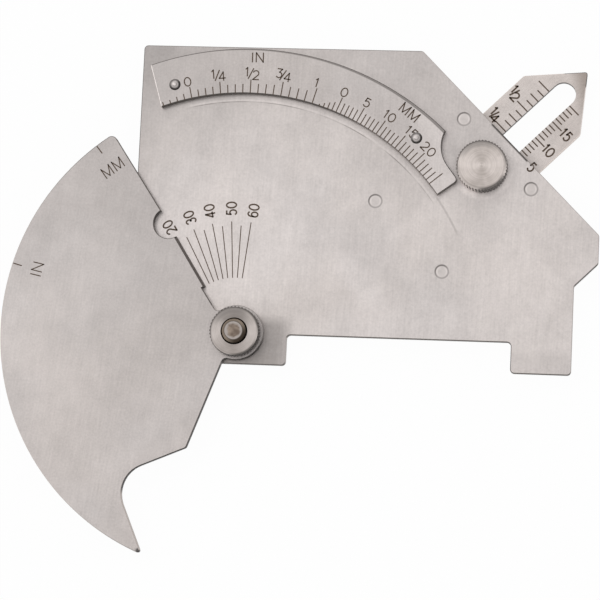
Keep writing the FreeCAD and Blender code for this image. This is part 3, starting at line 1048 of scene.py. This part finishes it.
# %% A tree that cuts the paths
cut_tree, cut_board, cut_given = input_tree("cut_lines", ["Stroke", "Depth"])
cut_path = cut_board.wire("GeometryNodeMeshToCurve", inputs={0: cut_given["Geometry"]})
cut_curve = cut_board.wire("GeometryNodeSetCurveNormal", {"mode": "Z_UP"}, {"Curve": cut_path})
cut_profile = cut_board.wire(
    "GeometryNodeCurvePrimitiveQuadrilateral",
    inputs={"Width": cut_given["Stroke"], "Height": cut_given["Depth"]},
)
cut_lines = cut_board.wire(
    "GeometryNodeCurveToMesh",
    inputs={"Curve": cut_curve, "Profile Curve": cut_profile, "Fill Caps": True},
)
finish_tree(cut_board, cut_lines, cut_given)
print("cutter tree:", cut_tree.name)

# %% [markdown]
# ## Cutting round corners
#
# A profile that is swept round a sharp corner gets thin there. So a path is cut in two at each
# sharp corner, and each part runs a little past it, which closes the corner as a real cutter would.

# %% Cut the letters
SHARP = math.radians(50.0)
OVERRUN = 0.3
SAME_POINT = 0.001


def runs_of(path, overrun):
    """The path cut at its sharp corners, with each part run a little past the corner."""
    runs = [[path[0]]]
    for before, point, after in zip(path, path[1:], path[2:]):
        runs[-1].append(point)
        if (point - before).angle(after - point) > SHARP:
            runs[-1][-1] = point + (point - before).normalized() * overrun
            runs.append([point + (point - after).normalized() * overrun])
    runs[-1].append(path[-1])
    return runs


def cut_letters(paths, face, stroke):
    """Lines of the given stroke along paths in mm, on a face."""
    points = []
    edges = []
    for path in paths:
        closed = (path[0] - path[-1]).length < SAME_POINT
        runs = [path[:-1]] if closed else runs_of(path, OVERRUN * stroke / MM)
        for run in runs:
            first = len(points)
            points += [(point.x * MM, point.y * MM, mark_level(face)) for point in run]
            edges += [(step, step + 1) for step in range(first, len(points) - 1)]
        if closed:
            edges.append((len(points) - 1, first))
    guide = bpy.data.meshes.new("cutter_path")
    guide.from_pydata(points, edges, [])
    return grown(cut_tree, {"Stroke": stroke, "Depth": MARK_DEPTH, "Ink": mark_ink}, guide)


print("corners are sharp from degrees:", round(math.degrees(SHARP)))

# %% [markdown]
# ## Marks on the arc scale
#
# The arc reads the height of the claw's tip: inches on the left, in sixteenths, and millimetres on
# the right. A few ticks below each zero get shorter, and those above it grow slightly. Both scales
# follow the law of the claw, each from its own zero. Their reach and drop were measured apart, and
# agree within half a millimetre.

# %% Ticks of the arc scale
INCH = 25.4 * MM
ARC_STROKE = 0.23 * MM
BELOW_ZERO = 4
HIGHEST_MM = 25
SIXTEENTHS = 16


def arc_ticks(highest, **sizes):
    """Ticks from a few below zero up to the highest number."""
    return ticks(
        claw_tree, scale_front, ARC_STROKE, Radius=ARC_FOOT, First_number=-BELOW_ZERO,
        Count=BELOW_ZERO + highest + 1, **sizes,
    )


arc_parts = [
    arc_ticks(
        HIGHEST_MM, Step=1 * MM, Zero_direction=math.radians(68.16),
        Claw_reach=52.57 * MM, Claw_drop=-0.32 * MM,
        Short=2.46 * MM, Long=3.42 * MM, Long_every=5.0, Fade=0.21, Growth=0.008 * MM,
    ),
    arc_ticks(
        SIXTEENTHS, Step=INCH / 16, Zero_direction=math.radians(103.45),
        Claw_reach=52.27 * MM, Claw_drop=-0.73 * MM,
        Short=1.55 * MM, Middle=2.40 * MM, Long=2.48 * MM, Middle_every=4.0, Long_every=8.0,
        Fade=0.16, Growth=0.06 * MM,
    ),
]
print("ticks on the arc:", 2 * (BELOW_ZERO + 1) + HIGHEST_MM + SIXTEENTHS)

# %% Numerals of the arc scale
ARC_LETTER_STROKE = 0.26 * MM
ARC_TEXT = 1.9
ARC_FRACTION = 1.04 * ARC_TEXT

# Text, x and y of its centre in mm, and its turn in degrees.
ARC_WORDS = [
    ("0", -13.28, 54.44, 13.7), ("1", 15.05, 54.87, -15.3), ("0", 21.11, 52.90, -21.8),
    ("5", 26.12, 50.74, -27.2), ("10", 31.19, 47.84, -33.1), ("15", 36.03, 44.46, -39.0),
    ("20", 39.77, 40.92, -44.2),
]
ARC_FRACTIONS = [
    ("1", "4", -6.61, 56.02, 6.8), ("1", "2", 0.76, 56.58, -0.9), ("3", "4", 7.76, 56.32, -7.6),
]
arc_paths = []
for text, x, y, turn in ARC_WORDS:
    arc_paths += cutter_paths(text, (x, y), turn, ARC_TEXT)
for over, under, x, y, turn in ARC_FRACTIONS:
    arc_paths += fraction_paths(over, under, (x, y), turn, ARC_FRACTION, spread=1.05)
arc_paths += cutter_paths("IN", (1.84, 60.16), 1.2, 2.15)
arc_paths += cutter_paths("MM", (35.36, 48.83), -38.0, 2.25)
arc_parts.append(cut_letters(arc_paths, scale_front, ARC_LETTER_STROKE))
piece("arc_marks", "body", arc_parts)

# %% [markdown]
# ## Marks on the cam
#
# Two short index lines stand at the cam's rim, one for each scale of the arc, with its unit below
# it. A fan of one line is enough for each.

# %% Cam
INDEX_DIRECTIONS = (164.75, 129.3)
INDEX_FOOT = 49.3 * MM
INDEX_LENGTH = 2.0 * MM
INDEX_STROKE = 0.25 * MM
UNIT_STROKE = 0.235 * MM

cam_parts = [
    ticks(
        fan_tree, cam_front, INDEX_STROKE, Apex_X=0.0, Apex_Y=0.0, Radius=INDEX_FOOT,
        Zero_direction=math.radians(direction), Count=1, First_number=0, Step=0.0,
        Short=INDEX_LENGTH, Fade=0.0,
    )
    for direction in INDEX_DIRECTIONS
]
cam_paths = cutter_paths("IN", (-44.17, 12.29), 78.0, 2.4)
cam_paths += cutter_paths("MM", (-28.72, 35.03), 37.8, 2.5)
cam_parts.append(cut_letters(cam_paths, cam_front, UNIT_STROKE))
piece("cam_marks", "cam", cam_parts)

# %% [markdown]
# ## The fan on the bridge plate
#
# Eight lines for 25 to 60 degrees fan out above the pivot, five degrees apart, with numerals at the
# tens. The reading edge of the cam is set against them. The line for 20 lies just under that edge.

# %% Fan
FAN_APEX = -0.71
FAN_STROKE = 0.20 * MM
FAN_LETTER_STROKE = 0.34 * MM
FAN_TEXT = 2.15
FAN_NARROW = 0.76
FAN_WORDS = [
    ("20", -15.81, 22.55), (("round 3", "0"), -11.48, 24.80), ("40", -7.18, 26.39),
    ("50", -2.45, 27.05), ("60", 2.37, 26.75),
]

bridge_parts = [
    ticks(
        fan_tree, body_front, FAN_STROKE, Apex_X=FAN_APEX * MM, Apex_Y=0.0, Radius=12.0 * MM,
        Zero_direction=math.radians(143.7), Count=8, First_number=5, Step=math.radians(5.0),
        Short=11.4 * MM, Long=12.3 * MM, Long_every=2.0, Fade=0.0,
    )
]
fan_paths = []
for text, x, y in FAN_WORDS:
    turn = math.degrees(math.atan2(y, x - FAN_APEX))
    fan_paths += cutter_paths(text, (x, y), turn, FAN_TEXT, narrow=FAN_NARROW)
bridge_parts.append(cut_letters(fan_paths, body_front, FAN_LETTER_STROKE))
print("numerals of the fan:", len(FAN_WORDS))

# %% [markdown]
# ## Marks on the pointer
#
# The pointer reads a fillet's throat at the edge of the bridge plate: sixteenths of an inch on its
# upper side and millimetres on its lower side. Both run along the slot, so their law is a straight
# line.

# %% Ticks of the pointer
SLIDE = math.radians(45.0)
SLOT_ACROSS = -9.9
SLOT_HALF = 2.65
POINTER_STROKE = 0.28 * MM


def slide_ticks(zero_along, across, side_turn, **sizes):
    """Ticks on one side of the slot, whose zero lies at a distance in mm along the slide."""
    x = zero_along * math.cos(SLIDE) - across * math.sin(SLIDE)
    y = zero_along * math.sin(SLIDE) + across * math.cos(SLIDE)
    return ticks(
        slide_tree, pointer_front, POINTER_STROKE, Start_X=x * MM, Start_Y=y * MM,
        Slide_direction=SLIDE, Side_turn=math.radians(side_turn), Fade=0.0, **sizes,
    )


pointer_parts = [
    slide_ticks(
        65.7, SLOT_ACROSS - SLOT_HALF, -90.0, Count=16, First_number=5, Step=1 * MM,
        Short=1.9 * MM, Long=2.9 * MM, Long_every=5.0,
    ),
    slide_ticks(
        65.61, SLOT_ACROSS + SLOT_HALF, 90.0, Count=9, First_number=4, Step=INCH / 16,
        Short=1.9 * MM, Middle=2.4 * MM, Long=3.2 * MM, Middle_every=2.0, Long_every=4.0,
    ),
]
print("scales on the pointer:", len(pointer_parts))

# %% Numerals of the pointer
POINTER_TURN = -45.0
POINTER_LETTER_STROKE = 0.36 * MM
FIVE_AT = (61.89, 38.12)


def pointer_word(text, place):
    return cutter_paths(text, place, POINTER_TURN, 2.1, narrow=0.82)


pointer_paths = []
for text, place in (("5", FIVE_AT), ("10", (65.39, 41.73)), ("15", (69.01, 45.26))):
    pointer_paths += pointer_word(text, place)
for under, place in (("4", (53.50, 49.35)), ("2", (57.72, 54.20))):
    pointer_paths += fraction_paths("1", under, place, POINTER_TURN, 1.95, spread=0.72, lift=0.27)
pointer_parts.append(cut_letters(pointer_paths, pointer_front, POINTER_LETTER_STROKE))
piece("pointer_marks", "pointer", pointer_parts)

# %% [markdown]
# ## The numeral on the slanted edge
#
# The bridge plate's slanted edge runs across the numeral 5, yet the whole numeral shows. So the
# part of it that the plate covers is marked on the plate as well, moved by what the camera's slant
# makes up for. Points are set close together along the numeral, and those beyond the edge are left
# out.

# %% Part of the 5 on the bridge plate
EDGE_ALONG = 70.84
SLANT_SHIFT = Vector((0.05, -0.27, 0.0))
CLOSE_STEPS = 12


def runs_on_plate(path):
    """Runs of close points along a path that lie on the bridge plate."""
    close = [
        start.lerp(end, step / CLOSE_STEPS)
        for start, end in zip(path, path[1:])
        for step in range(CLOSE_STEPS)
    ]
    runs = [[]]
    for point in close + [path[-1]]:
        moved = point + SLANT_SHIFT
        if (moved.x + moved.y) * DIAGONAL < EDGE_ALONG:
            runs[-1].append(moved)
        elif runs[-1]:
            runs.append([])
    return [run for run in runs if len(run) > 1]


for path in pointer_word("5", FIVE_AT):
    bridge_parts.append(cut_letters(runs_on_plate(path), body_front, POINTER_LETTER_STROKE))
piece("body_marks", "body", bridge_parts)

# %% [markdown]
# ## The thread of the stud
#
# The stud is a screw, and a turn of its thread shows in the nut's countersink. A thread is a
# section swept along a helix, and Geometry Nodes have both: a spiral curve, and a sweep along a
# curve.

# %% A tree for a thread
thread_tree, thread_board, thread_given = input_tree(
    "thread", ["Radius", "Height", "Turns", "Crest", "Level"]
)
helix = thread_board.wire(
    "GeometryNodeCurveSpiral",
    inputs={
        "Resolution": 48, "Rotations": thread_given["Turns"], "Height": thread_given["Height"],
        "Start Radius": thread_given["Radius"], "End Radius": thread_given["Radius"],
    },
)
crest = thread_board.wire(
    "GeometryNodeCurvePrimitiveCircle", {"mode": "RADIUS"},
    {"Resolution": 6, "Radius": thread_given["Crest"]},
)
swept = thread_board.wire(
    "GeometryNodeCurveToMesh", inputs={"Curve": helix, "Profile Curve": crest, "Fill Caps": True}
)
rise = thread_board.vector(z=thread_given["Level"])
raised = thread_board.wire("GeometryNodeTransform", inputs={"Geometry": swept, "Translation": rise})
finish_tree(thread_board, raised, thread_given)
print("thread tree:", thread_tree.name)

# %% Thread
THREAD_PITCH = 0.8 * MM
THREAD_RADIUS = 2.46 * MM
THREAD_CREST = 0.14 * MM
THREAD_LOW = front_of("pivot_nut") - 0.22 * MM
THREAD_HIGH = front_of("pivot_stud") - 0.68 * MM

thread_sizes = {
    "Radius": THREAD_RADIUS, "Height": THREAD_HIGH - THREAD_LOW, "Crest": THREAD_CREST,
    "Level": THREAD_LOW, "Turns": (THREAD_HIGH - THREAD_LOW) / THREAD_PITCH,
    "Ink": finishes["pivot_stud"],
}
thread = grown(thread_tree, thread_sizes)
piece("stud_thread", "body", [thread], finishes["pivot_stud"])

# %% [markdown]
# ## The floor
#
# The gauge lies on a white table. The camera and reflections see it mostly as plain white, and a
# share of ordinary matt white is kept so that it still takes the gauge's shadow.

# %% What sees the white


def bare_board(tree):
    """Board of a tree whose first nodes are taken out."""
    tree.nodes.clear()
    return Board(tree)


def seen_directly(board):
    """1 for the camera's rays and for those in reflections and glass."""
    path = board.node("ShaderNodeLightPath")
    seen = Wire(board, path.outputs["Is Camera Ray"])
    for name in ("Is Glossy Ray", "Is Transmission Ray"):
        seen = board.sum_of("MAXIMUM", seen, Wire(board, path.outputs[name]))
    return seen


print("white is told by the kind of ray")

# %% Floor
FLOOR_HALF = 3.0
FLOOR_LEVEL = -0.02 * MM
FLOOR_WHITE = 0.95
GLOW_SHARE = 0.965

floor_mesh = bpy.data.meshes.new("floor")
corners = ((-1, -1), (1, -1), (1, 1), (-1, 1))
floor_mesh.from_pydata(
    [(x * FLOOR_HALF, y * FLOOR_HALF, FLOOR_LEVEL) for x, y in corners], [], [(0, 1, 2, 3)]
)
floor = bpy.data.objects.new("floor", floor_mesh)
bpy.context.collection.objects.link(floor)

floor_paint = bpy.data.materials.new("floor_white")
floor_paint.use_nodes = True
floor_board = bare_board(floor_paint.node_tree)
matt_white = (FLOOR_WHITE, FLOOR_WHITE, FLOOR_WHITE, 1.0)
matt = floor_board.wire("ShaderNodeBsdfDiffuse", inputs={"Color": matt_white})
glow = floor_board.wire("ShaderNodeEmission", inputs={"Color": (1, 1, 1, 1), "Strength": 1.0})
glow_share = GLOW_SHARE * seen_directly(floor_board)
floor_mix = floor_board.wire("ShaderNodeMixShader", inputs={0: glow_share, 1: matt, 2: glow})
floor_board.node("ShaderNodeOutputMaterial", inputs={0: floor_mix})
floor_mesh.materials.append(floor_paint)
print("floor half width in m:", FLOOR_HALF)

# %% [markdown]
# ## Light
#
# The world gives the even light of a white studio: a little less than white on the gauge, and white
# where the camera or a reflection looks at it. One small, weak lamp stands high at the upper left.
# It gives the nut and the lock screw their short shadows.

# %% World
WORLD_LIGHT = 0.75
WORLD_SEEN = 1.0

world = bpy.data.worlds.new("studio")
bpy.context.scene.world = world
world.use_nodes = True
world_board = bare_board(world.node_tree)
even, bright = (
    world_board.wire("ShaderNodeBackground", inputs={"Color": (1, 1, 1, 1), "Strength": strength})
    for strength in (WORLD_LIGHT, WORLD_SEEN)
)
world_mix = world_board.wire(
    "ShaderNodeMixShader", inputs={0: seen_directly(world_board), 1: even, 2: bright}
)
world_board.node("ShaderNodeOutputWorld", inputs={0: world_mix})
print("world light:", WORLD_LIGHT)

# %% Lamp
LAMP_AT = Vector((-0.21, 0.17, 0.42))
LAMP_AIM = Vector((0.01, 0.01, 0.0))

lamp = bpy.data.lights.new("key", "AREA")
lamp.shape = "SQUARE"
lamp.size = 0.16
lamp.energy = 0.2
lamp_holder = bpy.data.objects.new("key", lamp)
bpy.context.collection.objects.link(lamp_holder)
lamp_turn = (LAMP_AIM - LAMP_AT).to_track_quat("-Z", "Y").to_matrix().to_4x4()
lamp_holder.matrix_world = Matrix.Translation(LAMP_AT) @ lamp_turn
print("lamp power in W:", lamp.energy)

# %% [markdown]
# ## Camera
#
# The photograph was taken from almost straight above with a long lens. The place and the turn of
# the camera were fitted to the outline of the plates and to the graduations.

# %% Camera
CAMERA_AT = Vector((0.08155066, -0.06214004, 0.57605783))
CAMERA_RIGHT = Vector((0.99253858, 0.04613677, -0.11286525))
CAMERA_BACK = Vector((0.11768743, -0.12041117, 0.9857235))

camera_data = bpy.data.cameras.new("camera")
camera_data.sensor_width = 36.0
camera_data.lens = 161.8
camera_data.clip_start = 0.01
camera_data.clip_end = 20.0
camera = bpy.data.objects.new("camera", camera_data)
bpy.context.collection.objects.link(camera)
camera_axes = Matrix((CAMERA_RIGHT, CAMERA_BACK.cross(CAMERA_RIGHT), CAMERA_BACK))
camera.matrix_world = Matrix.Translation(CAMERA_AT) @ camera_axes.transposed().to_4x4()
bpy.context.scene.camera = camera
bpy.context.scene.view_settings.view_transform = "Standard"
print("camera height in m:", round(camera.matrix_world.translation.z, 3))

# %% [markdown]
# ## The end

# %% Finish
print("the scene is built")
